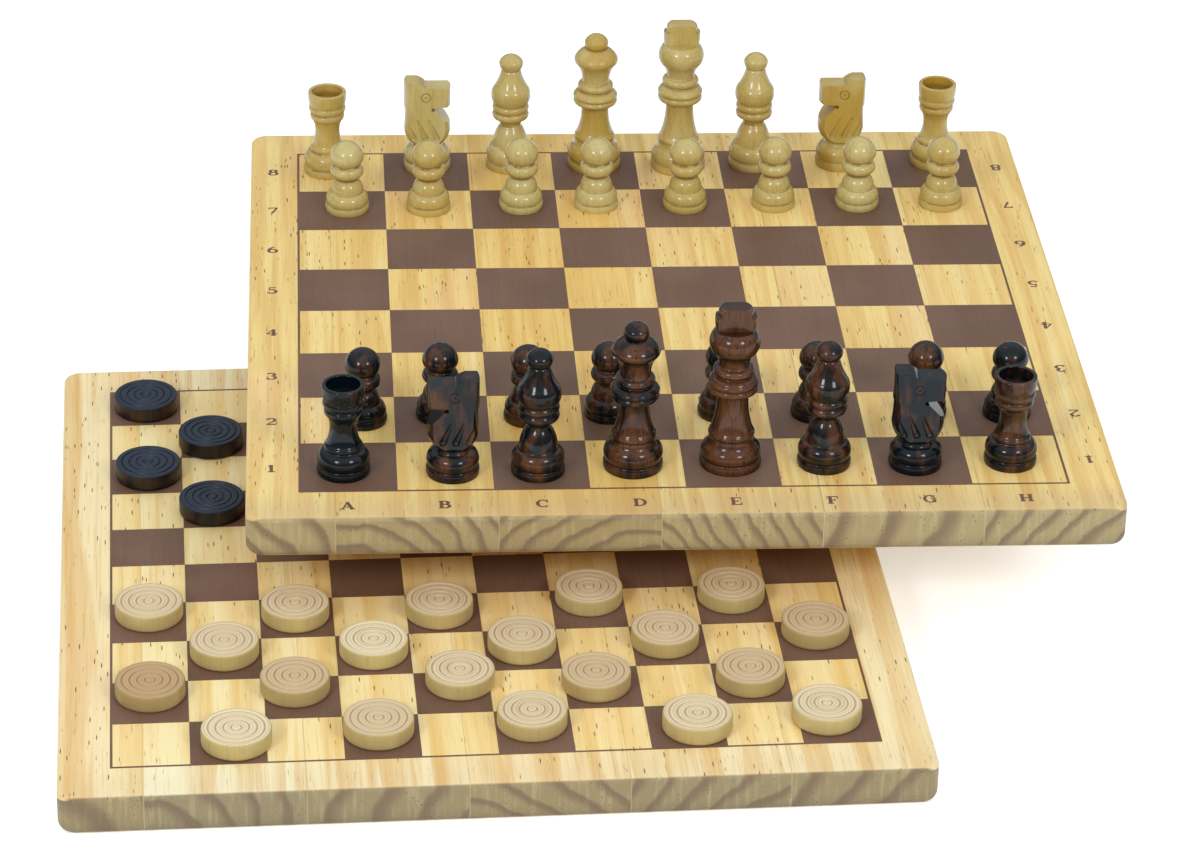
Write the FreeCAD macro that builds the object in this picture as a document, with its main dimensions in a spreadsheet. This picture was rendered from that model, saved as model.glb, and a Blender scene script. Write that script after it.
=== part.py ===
import FreeCAD, Part
import math
import os

import Sketcher
from FreeCAD import Placement, Rotation, Vector

# A chess and draughts set in wood: two edge-glued pine boards, thirty-two turned chessmen and forty grooved men.
# The draughts board lies on the table. Four stacks of dark men stand on it and carry the chess board.
# Millimetres. The origin is the middle of the draughts board's underside, +Z is up, and +Y runs away from the dark side.

doc = FreeCAD.newDocument("ChessAndDraughtsSet")
sheet = doc.addObject("Spreadsheet::Sheet", "Sizes")
sizes = {}
nodes = []


class Dim:
    """A length as it is now, with the formula on the sheet's cells that keeps it true."""

    def __init__(self, value, formula):
        self.value = value
        self.formula = formula

    def __add__(self, other):
        other = dim(other)
        return Dim(self.value + other.value, f"({self.formula} + {other.formula})")

    def __sub__(self, other):
        other = dim(other)
        return Dim(self.value - other.value, f"({self.formula} - {other.formula})")

    def __mul__(self, other):
        other = dim(other)
        return Dim(self.value * other.value, f"({self.formula} * {other.formula})")

    def __truediv__(self, other):
        other = dim(other)
        return Dim(self.value / other.value, f"({self.formula} / {other.formula})")

    def __neg__(self):
        return dim(0) - self

    __radd__ = __add__
    __rmul__ = __mul__


def dim(length):
    """A plain number as a Dim, so that numbers and sizes can be added."""
    if isinstance(length, Dim):
        return length
    return Dim(float(length), repr(float(length)))


def size(name, value):
    """Writes a driving size in the sheet's next row, and returns it."""
    row = len(sizes) + 1
    sheet.set(f"A{row}", name)
    sheet.set(f"B{row}", str(value))
    sheet.setAlias(f"B{row}", name)
    sizes[name] = Dim(value, "Sizes." + name)
    return sizes[name]


def degrees(angle):
    """An angle of the sheet, with the unit that a placement asks for."""
    return Dim(angle.value, f"{angle.formula} * 1 deg")


def sine(angle):
    return Dim(math.sin(math.radians(angle.value)), f"sin({angle.formula})")


def cosine(angle):
    return Dim(math.cos(math.radians(angle.value)), f"cos({angle.formula})")


def bind(thing, **values):
    """Ties properties of an object to sizes. A double underscore in the name stands for a dot."""
    for name, value in values.items():
        thing.setExpression(name.replace("__", "."), dim(value).formula)


class Outline:
    """A closed outline in a sketch, drawn point by point. Sizes hold every point, so it follows the sheet."""

    def __init__(self, sketch, x, y):
        self.sketch = sketch
        self.x = dim(x)
        self.y = dim(y)
        self.first = None
        self.last = None

    def fix(self, kind, *places, value=None):
        """Adds a constraint, and ties it to its size where it has one."""
        if value is None:
            self.sketch.addConstraint(Sketcher.Constraint(kind, *places))
            return
        index = self.sketch.addConstraint(Sketcher.Constraint(kind, *places, value.value))
        self.sketch.renameConstraint(index, f"size_{index}")
        bind(self.sketch, **{f"Constraints__size_{index}": value})

    def hold(self, edge, end, x, y):
        """Fixes an edge's end at x, y from the sketch's origin, or on its axis where one of them is zero."""
        for value, kind, axis in ((x, "DistanceX", -2), (y, "DistanceY", -1)):
            if value.formula == "0.0":
                self.fix("PointOnObject", edge, end, axis)
            else:
                self.fix(kind, -1, 1, edge, end, value=value)

    def add(self, curve, start, end, x, y, held=True):
        """Joins a curve to the outline. start and end say which of its ends come first and last on the way round."""
        edge = self.sketch.addGeometry(curve, False)
        if self.last is None:
            self.first = (edge, start)
            self.hold(edge, start, self.x, self.y)
        else:
            self.fix("Coincident", *self.last, edge, start)
        if held:
            self.hold(edge, end, x, y)
        self.last = (edge, end)
        self.x = x
        self.y = y
        return edge

    def here(self):
        return Vector(self.x.value, self.y.value, 0)

    def line(self, x, y):
        x, y = dim(x), dim(y)
        self.add(Part.LineSegment(self.here(), Vector(x.value, y.value, 0)), 1, 2, x, y)

    def arc(self, x, y, swell):
        """An arc that stands out to the right of its chord by swell, or to the left where swell is negative."""
        x, y, swell = dim(x), dim(y), dim(swell)
        start, end = self.here(), Vector(x.value, y.value, 0)
        chord = end - start
        right = Vector(chord.y, -chord.x, 0).normalize()
        middle = (start + end) / 2 + right * swell.value
        outward = swell.value > 0
        depth = swell if outward else -swell
        across, along = x - self.x, y - self.y
        radius = (across * across + along * along) / (depth * 8) + depth / 2
        edge = self.add(Part.Arc(start, middle, end), 1 if outward else 2, 2 if outward else 1, x, y)
        self.fix("Radius", edge, value=radius)

    def cap(self, y):
        """A round end: an arc about a point of the vertical axis, up to that axis."""
        y = dim(y)
        rise = y.value - self.y.value
        radius = (self.x.value**2 + rise**2) / (2 * rise)
        centre = Vector(0, y.value - radius, 0)
        lean = math.atan2(self.y.value - centre.y, self.x.value)
        middle = centre + Vector(math.cos((lean + math.pi / 2) / 2), math.sin((lean + math.pi / 2) / 2), 0) * radius
        edge = self.add(Part.Arc(self.here(), middle, Vector(0, y.value, 0)), 1, 2, dim(0), y)
        self.fix("PointOnObject", edge, 3, -2)

    def close(self):
        """A straight edge back to the first point."""
        edge, end = self.first
        target = self.sketch.getPoint(edge, end)
        self.add(Part.LineSegment(self.here(), target), 1, 2, self.x, self.y, held=False)
        self.fix("Coincident", *self.last, edge, end)


def rectangle(sketch, left, low, right, high):
    outline = Outline(sketch, left, low)
    outline.line(right, low)
    outline.line(right, high)
    outline.line(left, high)
    outline.close()


def plane(body, role):
    return next(feature for feature in body.Origin.OriginFeatures if feature.Role == role)


def sketch_on(body, role, name):
    sketch = body.newObject("Sketcher::SketchObject", name)
    sketch.AttachmentSupport = [(plane(body, role), "")]
    sketch.MapMode = "FlatFace"
    return sketch


def settle(body, name, before):
    """Recomputes after a cut, and stops if the cut took nothing away."""
    doc.recompute()
    if body.Shape.Volume > before - 1e-6:
        raise RuntimeError(f"{name} cuts nothing")


def cut_through(body, sketch, length):
    """Cuts a sketch's outlines right through, to both sides of its plane."""
    before = body.Shape.Volume
    pocket = body.newObject("PartDesign::Pocket", sketch.Name + "_cut")
    pocket.Profile = sketch
    pocket.SideType = "Symmetric"
    bind(pocket, Length=length)
    settle(body, pocket.Name, before)


# Turned pieces, from the foot up. Each part of a turning has its height, the diameter at its top and its swell:
# a bead stands out from the straight line by that much, a cove is hollowed by it, and a part with none is straight.
# The first number is the diameter of the foot. A part with no diameter is a round end that closes on the axis.
TURNINGS = {
    "pawn": (18.5, [
        ("rim", 3.0, 18.5, 0.3),
        ("rim_groove", 0.6, 17.9, -0.3),
        ("foot", 4.8, 14.6, 0.75),
        ("foot_step", 0.4, 13.8, -0.08),
        ("body", 5.6, 9.0, 0.7),
        ("neck", 0.5, 9.0, 0),
        ("collar_flare", 0.9, 12.0, -0.2),
        ("collar", 4.6, 11.8, 1.2),
        ("collar_groove", 0.7, 10.4, -0.2),
        ("ball", 5.2, 13.8, 0.85),
        ("ball_end", 5.3, None, None),
    ]),
    "rook": (20.0, [
        ("rim", 3.2, 20.0, 0.3),
        ("rim_groove", 0.8, 19.2, -0.35),
        ("foot", 6.2, 16.0, 1.2),
        ("foot_groove", 0.6, 14.6, -0.15),
        ("foot_bead", 2.0, 13.6, 0.4),
        ("body", 8.0, 10.6, -0.5),
        ("cup_flare", 4.4, 13.4, -0.3),
        ("lower_ring", 2.7, 14.2, 0.5),
        ("lower_groove", 0.7, 14.4, -0.3),
        ("upper_ring", 2.7, 15.4, 0.5),
        ("upper_groove", 0.7, 15.4, -0.3),
        ("cup", 5.4, 16.4, 0.2),
        ("cup_lip", 0.6, 15.4, 0.15),
        ("cup_top", 0, 13.6, 0),
        ("cup_mouth", -0.5, 13.0, 0.1),
        ("cup_bore", -4.4, 12.2, 0),
        ("cup_floor", -1.2, 0, 0),
    ]),
    "bishop": (20.4, [
        ("rim", 3.2, 20.4, 0.3),
        ("rim_groove", 0.8, 19.6, -0.35),
        ("foot", 6.2, 17.0, 1.1),
        ("foot_groove", 0.6, 15.2, -0.15),
        ("bulge", 9.0, 9.4, 0.7),
        ("waist", 1.4, 9.6, -0.15),
        ("collar_flare", 2.4, 15.0, -0.4),
        ("lower_ring", 2.7, 15.0, 0.5),
        ("lower_groove", 0.7, 14.8, -0.3),
        ("upper_ring", 2.6, 15.0, 0.5),
        ("upper_groove", 0.7, 15.0, -0.3),
        ("mitre", 4.0, 17.0, 0.35),
        ("mitre_shoulder", 3.6, 14.8, 0.35),
        ("mitre_cove", 7.8, 8.4, -0.35),
        ("knob_neck", 0.4, 8.4, -0.1),
        ("knob", 3.5, 10.4, 0.35),
        ("knob_end", 3.3, None, None),
    ]),
    "queen": (22.8, [
        ("rim", 3.2, 22.8, 0.3),
        ("rim_groove", 0.8, 22.0, -0.35),
        ("foot", 6.0, 20.4, 0.9),
        ("foot_cove", 3.4, 16.8, -0.5),
        ("foot_bead", 2.6, 16.2, 0.5),
        ("body", 13.5, 12.2, -0.9),
        ("collar_flare", 0.8, 18.0, -0.2),
        ("lower_lip", 2.0, 18.4, 0.4),
        ("lip_groove", 0.6, 18.4, -0.25),
        ("upper_lip", 2.0, 18.0, 0.5),
        ("collar_top", 1.2, 14.0, 0.25),
        ("collar_groove", 0.5, 13.6, -0.2),
        ("ring", 3.2, 13.0, 1.1),
        ("ring_groove", 0.6, 12.0, -0.15),
        ("crown", 8.2, 17.0, -0.8),
        ("crown_lip", 3.6, 18.0, 0.7),
        ("shoulder", 3.8, 8.6, 0.5),
        ("ball", 3.2, 10.1, 0.4),
        ("ball_end", 3.1, None, None),
    ]),
    "king": (23.4, [
        ("rim", 3.2, 23.4, 0.3),
        ("rim_groove", 0.8, 22.6, -0.35),
        ("foot", 5.0, 20.8, 0.8),
        ("foot_cove", 4.0, 17.4, -0.5),
        ("foot_bead", 2.3, 16.8, 0.45),
        ("body", 16.2, 12.4, -0.9),
        ("collar_flare", 0.9, 18.2, -0.2),
        ("lower_lip", 2.2, 18.4, 0.45),
        ("lip_groove", 0.6, 18.4, -0.25),
        ("upper_lip", 2.3, 18.0, 0.6),
        ("collar_top", 1.4, 14.4, 0.3),
        ("collar_groove", 0.6, 14.0, -0.2),
        ("ring", 3.4, 13.4, 1.1),
        ("ring_groove", 0.7, 12.0, -0.2),
        ("crown", 6.0, 17.6, -0.6),
        ("crown_bead", 8.4, 15.6, 1.5),
        ("crown_groove", 0.8, 15.2, -0.2),
        ("finial", 5.4, 15.8, 0.15),
        ("finial_notch", 0.9, 13.4, -0.45),
        ("finial_end", 1.4, 13.4, 0.1),
        ("finial_round", 1.4, 10.4, 0.35),
    ]),
    "knight": (20.2, [
        ("rim", 3.4, 20.2, 0.3),
        ("rim_groove", 0.8, 19.4, -0.35),
        ("foot", 6.2, 14.6, 1.5),
        ("waist", 1.6, 13.2, -0.3),
        ("bulb", 7.4, 20.2, 0.9),
        ("mane", 9.8, 19.4, -0.15),
        ("mane_step", 0.4, 20.2, 0),
        ("head", 12.0, 20.2, 0),
    ]),
    "man": (23.8, [
        ("foot_round", 1.4, 25.8, 0.3),
        ("edge", 4.8, 25.8, 0.1),
        ("shoulder", 0.8, 24.4, 0.2),
    ]),
}


def turned(piece):
    """A turned body: half its outline, revolved about the lathe axis. Returns it with the height of its top."""
    foot, parts = TURNINGS[piece]
    body = doc.addObject("PartDesign::Body", piece)
    sketch = sketch_on(body, "XZ_Plane", piece + "_outline")
    outline = Outline(sketch, 0, 0)
    outline.line(size(f"{piece}_base_dia", foot) / 2, 0)
    level = dim(0)
    for part, height, diameter, swell in parts:
        name = f"{piece}_{part}"
        if height:
            level = level + size(name + "_height", height)
        if diameter is None:
            outline.cap(level)
            continue
        edge = size(name + "_dia", diameter) / 2 if diameter else dim(0)
        if swell:
            outline.arc(edge, level, size(name + "_swell", swell))
        else:
            outline.line(edge, level)
    if outline.x.value > 0:
        outline.line(0, level)
    outline.close()
    turning = body.newObject("PartDesign::Revolution", piece + "_turning")
    turning.Profile = sketch
    turning.ReferenceAxis = (sketch, ["V_Axis"])
    turning.Angle = 360
    doc.recompute()
    return body, level


# a saw cut runs past the wood by this much
saw_room = size("saw_room", 2.0)


def king():
    """The king's finial is sawn flat in front and behind, which leaves a notch at each side under its top."""
    body, top = turned("king")
    flat = size("king_finial_thickness", 7.4) / 2
    finial = ("finial", "finial_notch", "finial_end", "finial_round")
    low = top - sum((sizes[f"king_{part}_height"] for part in finial), dim(0))
    reach = sizes["king_finial_dia"]
    sketch = sketch_on(body, "YZ_Plane", "king_finial_flats")
    rectangle(sketch, flat, low, reach, top + saw_room)
    rectangle(sketch, -reach, low, -flat, top + saw_room)
    cut_through(body, sketch, reach * 2)
    return body


def knight():
    """The knight's head: the turned blank sawn to a horse's outline, slabbed on both sides, fluted and drilled."""
    body, top = turned("knight")
    reach = sizes["knight_head_dia"] / 2 + saw_room
    through = reach * 2
    muzzle_top = top - size("knight_ear_height", 2.6)
    muzzle_low = muzzle_top - size("knight_muzzle_height", 9.0)

    # the forehead in front of the ear, the rounded nape behind it, and the mouth and throat below the muzzle
    sketch = sketch_on(body, "XZ_Plane", "knight_outline_saw")
    ear_tip = -size("knight_ear_tip", 4.6)
    forehead = Outline(sketch, reach, muzzle_top)
    forehead.line(reach, top + saw_room)
    forehead.line(ear_tip, top + saw_room)
    forehead.line(ear_tip, top)
    forehead.arc(-size("knight_ear_front", 0.7), muzzle_top, -size("knight_ear_front_swell", 0.35))
    forehead.close()
    nape_low = top - size("knight_nape_drop", 0.9)
    nape_back = -sizes["knight_head_dia"] / 2
    nape_top = nape_back + size("knight_nape_run", 1.2)
    nape = Outline(sketch, nape_back, nape_low)
    nape.arc(nape_top, top, -size("knight_nape_swell", 0.25))
    nape.line(nape_top, top + saw_room)
    nape.line(-reach, top + saw_room)
    nape.line(-reach, nape_low)
    nape.close()
    throat = size("knight_throat", 3.4)
    notch = throat - size("knight_mouth_notch_depth", 1.6)
    notch_low = muzzle_low - size("knight_mouth_notch", 1.4)
    chest_low = muzzle_low - size("knight_chest_drop", 7.8)
    mouth = Outline(sketch, reach, muzzle_low + size("knight_muzzle_rise", 0.8))
    mouth.line(notch, muzzle_low)
    mouth.line(notch, notch_low)
    mouth.line(throat, notch_low)
    mouth.line(size("knight_chest", 9.8), chest_low)
    mouth.line(reach, chest_low - saw_room)
    mouth.close()
    cut_through(body, sketch, through)

    # flats on both sides of the head, which draw in from the waist to the ear
    crown = size("knight_crown_thickness", 8.6) / 2
    jaw = size("knight_jaw_thickness", 14.4) / 2
    waist = sum((sizes[f"knight_{part}_height"] for part in ("rim", "rim_groove", "foot", "waist")), dim(0))
    flat_low = waist + size("knight_flat_above_waist", 1.3)
    slope = (jaw - crown) / (top - flat_low)
    sketch = sketch_on(body, "YZ_Plane", "knight_flats")
    for side in (1, -1):
        slab = Outline(sketch, crown * side, top + saw_room)
        slab.line(crown * side, top)
        slab.line(jaw * side, flat_low)
        slab.line(reach * side, flat_low)
        slab.line(reach * side, top + saw_room)
        slab.close()
    cut_through(body, sketch, through)

    # the eye, a ring and a dot sunk square to the flat
    eye_x = -size("knight_eye_back", 0.6)
    eye_down = -size("knight_eye_drop", 6.7)
    eye_depth = size("knight_eye_depth", 0.35)
    eye_radii = [size("knight_eye_" + part, radius) for part, radius in (("ring", 2.25), ("gap", 1.65), ("dot", 0.5))]
    tilt = Dim(math.degrees(math.atan(slope.value)), f"atan({slope.formula})")

    # three flutes in the flat, which lean back as they rise and widen to a round end above the waist
    wide = size("knight_flute_wide", 1.5)
    narrow = size("knight_flute_narrow", 0.5)
    length = size("knight_flute_length", 9.0)
    lean = degrees(size("knight_flute_lean", 22.0))
    flute_low = waist + size("knight_flute_low", 4.4)
    stand_off = crown + slope * (top - flute_low) + size("knight_flute_stand_off", 0.3)
    first = size("knight_flute_first", -6.0)
    pitch = size("knight_flute_pitch", 5.0)
    upright = cosine(lean) * cosine(tilt)
    turn = Dim(math.degrees(math.acos(upright.value)), f"acos({upright.formula})")

    for side, hand in ((1, "near"), (-1, "far")):
        before = body.Shape.Volume
        sketch = sketch_on(body, "XZ_Plane", f"knight_{hand}_eye")
        sketch.AttachmentOffset = Placement(Vector(), Rotation(Vector(-side, 0, 0), tilt.value))
        bind(sketch, AttachmentOffset__Base__y=top, AttachmentOffset__Base__z=crown * side)
        bind(sketch, AttachmentOffset__Rotation__Angle=tilt)
        for radius in eye_radii:
            middle = Vector(eye_x.value, eye_down.value, 0)
            circle = sketch.addGeometry(Part.Circle(middle, Vector(0, 0, 1), radius.value), False)
            outline = Outline(sketch, 0, 0)
            outline.hold(circle, 3, eye_x, eye_down)
            outline.fix("Radius", circle, value=radius)
        eye = body.newObject("PartDesign::Pocket", f"knight_{hand}_eye_cut")
        eye.Profile = sketch
        eye.Reversed = side < 0
        bind(eye, Length=eye_depth)
        settle(body, eye.Name, before)

        axis_x = cosine(lean) * sine(tilt) * -side
        axis_y = -sine(lean)
        for index in range(3):
            before = body.Shape.Volume
            place = first + pitch * index
            flute = body.newObject("PartDesign::SubtractiveCone", f"knight_{hand}_flute_{index}")
            flute.Placement = Placement(Vector(), Rotation(Vector(axis_x.value, axis_y.value, 0), turn.value))
            bind(flute, Radius1=wide, Radius2=narrow, Height=length, Placement__Rotation__Angle=turn)
            end = body.newObject("PartDesign::SubtractiveSphere", f"knight_{hand}_flute_end_{index}")
            bind(end, Radius=wide)
            for cut in (flute, end):
                bind(cut, Placement__Base__x=place, Placement__Base__y=stand_off * -side, Placement__Base__z=flute_low)
            settle(body, flute.Name, before)
    return body


def man():
    """A draughtsman: a turned disc with rings cut in its top face."""
    body, top = turned("man")
    before = body.Shape.Volume
    sketch = sketch_on(body, "XZ_Plane", "man_rings")
    outline = Outline(sketch, 0, 0)
    first = size("man_first_ring", 1.9)
    pitch = size("man_ring_pitch", 2.85)
    depth = size("man_ring_radius", 0.55)
    for ring in range(4):
        place = first + pitch * ring
        circle = sketch.addGeometry(
            Part.Circle(Vector(place.value, top.value, 0), Vector(0, 0, 1), depth.value), False
        )
        outline.hold(circle, 3, place, top)
        outline.fix("Radius", circle, value=depth)
    rings = body.newObject("PartDesign::Groove", "man_rings_cut")
    rings.Profile = sketch
    rings.ReferenceAxis = (sketch, ["V_Axis"])
    rings.Angle = 360
    settle(body, rings.Name, before)
    return body, top


PATTERNS = {piece: turned(piece)[0] for piece in ("pawn", "rook", "bishop", "queen")}
PATTERNS["king"] = king()
PATTERNS["knight"] = knight()
PATTERNS["man"], man_height = man()


class Board:
    """A printed board of edge-glued staves: its sizes, and the place where it lies."""

    def __init__(self, name, count, dark_corner, square, margin, thickness, left_stave, right_stave):
        self.name = name
        self.count = count
        self.dark_corner = dark_corner
        self.square = size(name + "_square", square)
        self.margin = size(name + "_margin", margin)
        self.thickness = size(name + "_thickness", thickness)
        self.field = self.square * count
        self.side = self.field + self.margin * 2
        self.left_stave = size(name + "_left_stave", left_stave)
        self.right_stave = size(name + "_right_stave", right_stave)

    def lie(self, x, y, underside, turn):
        self.x, self.y, self.turn = dim(x), dim(y), dim(turn)
        self.underside = dim(underside)
        self.top = self.underside + self.thickness
        self.cosine = cosine(degrees(self.turn))
        self.sine = sine(degrees(self.turn))

    def is_dark(self, column, row):
        """The near left corner of the field is dark on the chess board, and light on the draughts board."""
        return ((column + row) % 2 == 0) == self.dark_corner

    def put(self, thing, across, along, level, heading=0):
        """Places a thing on the board, across and along from its middle, with its foot at a level."""
        thing.Placement = Placement(Vector(), Rotation(Vector(0, 0, 1), self.turn.value + heading))
        bind(thing, Placement__Base__x=self.x + self.cosine * across - self.sine * along)
        bind(thing, Placement__Base__y=self.y + self.sine * across + self.cosine * along)
        bind(thing, Placement__Base__z=level, Placement__Rotation__Angle=degrees(self.turn + heading))

    def middle(self, column, row):
        """The middle of a square, across and along from the middle of the board."""
        return self.square * (column - (self.count - 1) / 2), self.square * (row - (self.count - 1) / 2)

    def seat(self, column, row):
        """The level of a square: the bare wood, or the ink on it."""
        return self.top + ink if self.is_dark(column, row) else self.top


def link(pattern, name):
    """One more piece of a pattern that is modelled once."""
    piece = doc.addObject("App::Link", name)
    piece.LinkedObject = pattern
    return piece


def compound(name, pieces):
    """Separate solids that make one node."""
    group = doc.addObject("Part::Compound", name)
    group.Links = pieces
    return group


def node(thing):
    """Counts an object among the sub-parts, under its own name."""
    thing.Label = thing.Name
    nodes.append(thing)
    return thing


def pad(body, sketch, height):
    thick = body.newObject("PartDesign::Pad", sketch.Name + "_pad")
    thick.Profile = sketch
    bind(thick, Length=height)
    doc.recompute()
    return thick


def rounded(body, feature, name, radius, chosen):
    """Rounds the edges of a feature whose box is chosen."""
    edges = [f"Edge{place}" for place, edge in enumerate(feature.Shape.Edges, 1) if chosen(edge.BoundBox)]
    fillet = body.newObject("PartDesign::Fillet", name)
    fillet.Base = (feature, edges)
    bind(fillet, Radius=radius)
    doc.recompute()
    return fillet


ink = size("ink_thickness", 0.1)
border = size("border_line_width", 0.9)
corner_round = size("board_corner_round", 7.0)
top_round = size("board_top_round", 1.8)
under_round = size("board_under_round", 3.5)
INNER_STAVES = 4


def glued_board(board):
    """A slab with rounded corners and edges, divided into the staves that it is glued from."""
    name = board.name
    half = board.side / 2
    body = doc.addObject("PartDesign::Body", name + "_slab")
    sketch = sketch_on(body, "XY_Plane", name + "_plan")
    rectangle(sketch, -half, -half, half, half)
    slab = pad(body, sketch, board.thickness)
    thick = board.thickness.value
    slab = rounded(body, slab, name + "_corners", corner_round, lambda box: box.ZLength > thick / 2)
    slab = rounded(body, slab, name + "_top_edge", top_round, lambda box: box.ZMin > thick / 2)
    rounded(body, slab, name + "_under_edge", under_round, lambda box: box.ZMax < thick / 4)

    inner = (board.side - board.left_stave - board.right_stave) / INNER_STAVES
    widths = [board.left_stave] + [inner] * INNER_STAVES + [board.right_stave]
    left = -half
    staves = []
    for place, width in enumerate(widths, 1):
        strip = doc.addObject("Part::Box", f"{name}_strip_{place}")
        bind(strip, Length=width, Width=board.side + saw_room * 2, Height=board.thickness + saw_room * 2)
        bind(strip, Placement__Base__x=left, Placement__Base__y=-half - saw_room, Placement__Base__z=-saw_room)
        stave = doc.addObject("Part::Common", f"{name}_stave_{place}")
        stave.Base = body
        stave.Tool = strip
        staves.append(stave)
        left = left + width
    return node(compound(name + "_board", staves))


def printed_field(board):
    """The print: the dark squares and the line round the field, as thick as the ink."""
    name = board.name
    half = board.square / 2
    tile = doc.addObject("PartDesign::Body", name + "_tile")
    sketch = sketch_on(tile, "XY_Plane", name + "_tile_plan")
    rectangle(sketch, -half, -half, half, half)
    pad(tile, sketch, ink)

    inside = board.field / 2
    outside = inside + border
    line = doc.addObject("PartDesign::Body", name + "_border")
    sketch = sketch_on(line, "XY_Plane", name + "_border_plan")
    for edge in (outside, inside):
        rectangle(sketch, -edge, -edge, edge, edge)
    pad(line, sketch, ink)

    marks = [line]
    for row in range(board.count):
        for column in range(board.count):
            if board.is_dark(column, row):
                square = link(tile, f"{name}_square_{column}_{row}")
                across, along = board.middle(column, row)
                bind(square, Placement__Base__x=across, Placement__Base__y=along)
                marks.append(square)
    return node(compound(name + "_print", marks))


# The draughts board, flat on the table with its middle at the origin
draughts = Board("draughts", 10, False, square=28.0, margin=20.0, thickness=16.0, left_stave=31.0, right_stave=55.0)
draughts.lie(0, 0, 0, 0)
draughts.put(glued_board(draughts), 0, 0, draughts.underside)
draughts.put(printed_field(draughts), 0, 0, draughts.top)

# The chess board, on stacks of dark men, a little askew
STACK = 4
chess = Board("chess", 8, True, square=36.8, margin=21.0, thickness=17.0, left_stave=34.0, right_stave=55.4)
stack_top = draughts.top + ink + man_height * STACK
chess.lie(size("chess_across", 85.0), size("chess_along", 118.55), stack_top, size("chess_turn", -2.0))
chess.put(glued_board(chess), 0, 0, chess.underside)
chess.put(printed_field(chess), 0, 0, chess.top)


def stand(piece, board, column, row, nudge, heading=0):
    """Stands a piece on a square, nudged off its middle as a hand leaves it."""
    across, along = board.middle(column, row)
    across = across + size(piece.Name + "_across", nudge[0])
    along = along + size(piece.Name + "_along", nudge[1])
    board.put(piece, across, along, board.seat(column, row), heading)


# The chessmen in their starting places. A knight looks along +X before it is turned.
FILES = "abcdefgh"
BACK_ROW = ("rook", "knight", "bishop", "queen", "king", "bishop", "knight", "rook")
FACING = {"b1": 180, "g1": 0, "b8": 0, "g8": 180}
NUDGES = {
    "1": [(-2, -3.1), (3, -4.5), (-1, -4.5), (-1, -1), (0, 0.1), (-0.5, -0.8), (-2, -2.5), (-1.5, -1)],
    "2": [(6, 0), (-0.5, 3.2), (-3, 1), (-8, 3), (0, 3), (0, 1.5), (6, 1), (2.5, -0.5)],
    "7": [(2, 2.2), (0, 2), (3, 3.4), (-1.5, 3.8), (0, 2.8), (1.5, 3.4), (1, 3.2), (0.5, 2.7)],
    "8": [(-6, 3), (0.5, 6.2), (0, 7), (0, 7), (0, 5.6), (-4, 7), (-2.5, 7), (2.5, 7.2)],
}
for rank, nudges in NUDGES.items():
    colour = "dark" if rank in "12" else "light"
    for column, nudge in enumerate(nudges):
        kind = BACK_ROW[column] if rank in "18" else "pawn"
        square = FILES[column] + rank
        piece = node(link(PATTERNS[kind], f"{colour}_{kind}_{square}"))
        stand(piece, chess, column, int(rank) - 1, nudge, FACING.get(square, 0))

# The light men, on the dark squares of the four near rows. The fourth row lies under the chess board's overhang.
LIGHT_MEN = [
    [(1, 3, -1), (3, -1, 2.5), (5, -0.5, 4.5), (7, 4, -1.5), (9, -3.5, 2)],
    [(0, 0, 5), (2, -2.5, 5), (4, 3, 6), (6, -2.5, 1.5), (8, -0.5, 1)],
    [(1, 0, 3.5), (3, 0, 1), (5, 0, 1), (7, -1.5, 2), (9, 0.5, 4.8)],
    [(0, 0, 5), (2, -0.5, 1), (4, -1.5, 0), (6, 0.5, 6), (8, -0.5, 4.5)],
]
for row, men in enumerate(LIGHT_MEN):
    pieces = []
    for place, (column, across, along) in enumerate(men, 1):
        piece = link(PATTERNS["man"], f"light_man_{row + 1}_{place}")
        stand(piece, draughts, column, row, (across, along))
        pieces.append(piece)
    if row < 3:
        for piece in pieces:
            node(piece)
    else:
        node(compound("light_men_fourth_row", pieces))

# The dark men at the left edge of the board
DARK_MEN = [(0, 9, 0, 0), (1, 8, -2, -4), (0, 7, 0.5, 0), (1, 6, -2.5, -1.5)]
for place, (column, row, across, along) in enumerate(DARK_MEN, 1):
    piece = node(link(PATTERNS["man"], f"dark_man_{place}"))
    stand(piece, draughts, column, row, (across, along))

# The other dark men, piled up under the chess board
STACK_SQUARES = [(3, 6), (9, 6), (4, 9), (8, 9)]
for place, (column, row) in enumerate(STACK_SQUARES, 1):
    pile = []
    across, along = draughts.middle(column, row)
    for step in range(STACK):
        piece = link(PATTERNS["man"], f"dark_stack_{place}_man_{step + 1}")
        draughts.put(piece, across, along, draughts.seat(column, row) + man_height * step)
        pile.append(piece)
    node(compound(f"dark_stack_{place}", pile))

doc.recompute()
for thing in doc.Objects:
    if {"Invalid", "Error"} & set(thing.State):
        raise RuntimeError(f"{thing.Name} did not compute")

os.makedirs("parts", exist_ok=True)
for thing in nodes:
    shape = Part.getShape(thing)
    if shape.isNull() or not shape.isValid() or not shape.Solids:
        raise RuntimeError(f"{thing.Label} is not a sound solid")
    shape.exportStep(f"parts/{thing.Label}.step")
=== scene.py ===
import math
import random

import bpy
import numpy as np
from mathutils import Matrix, Vector


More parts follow.
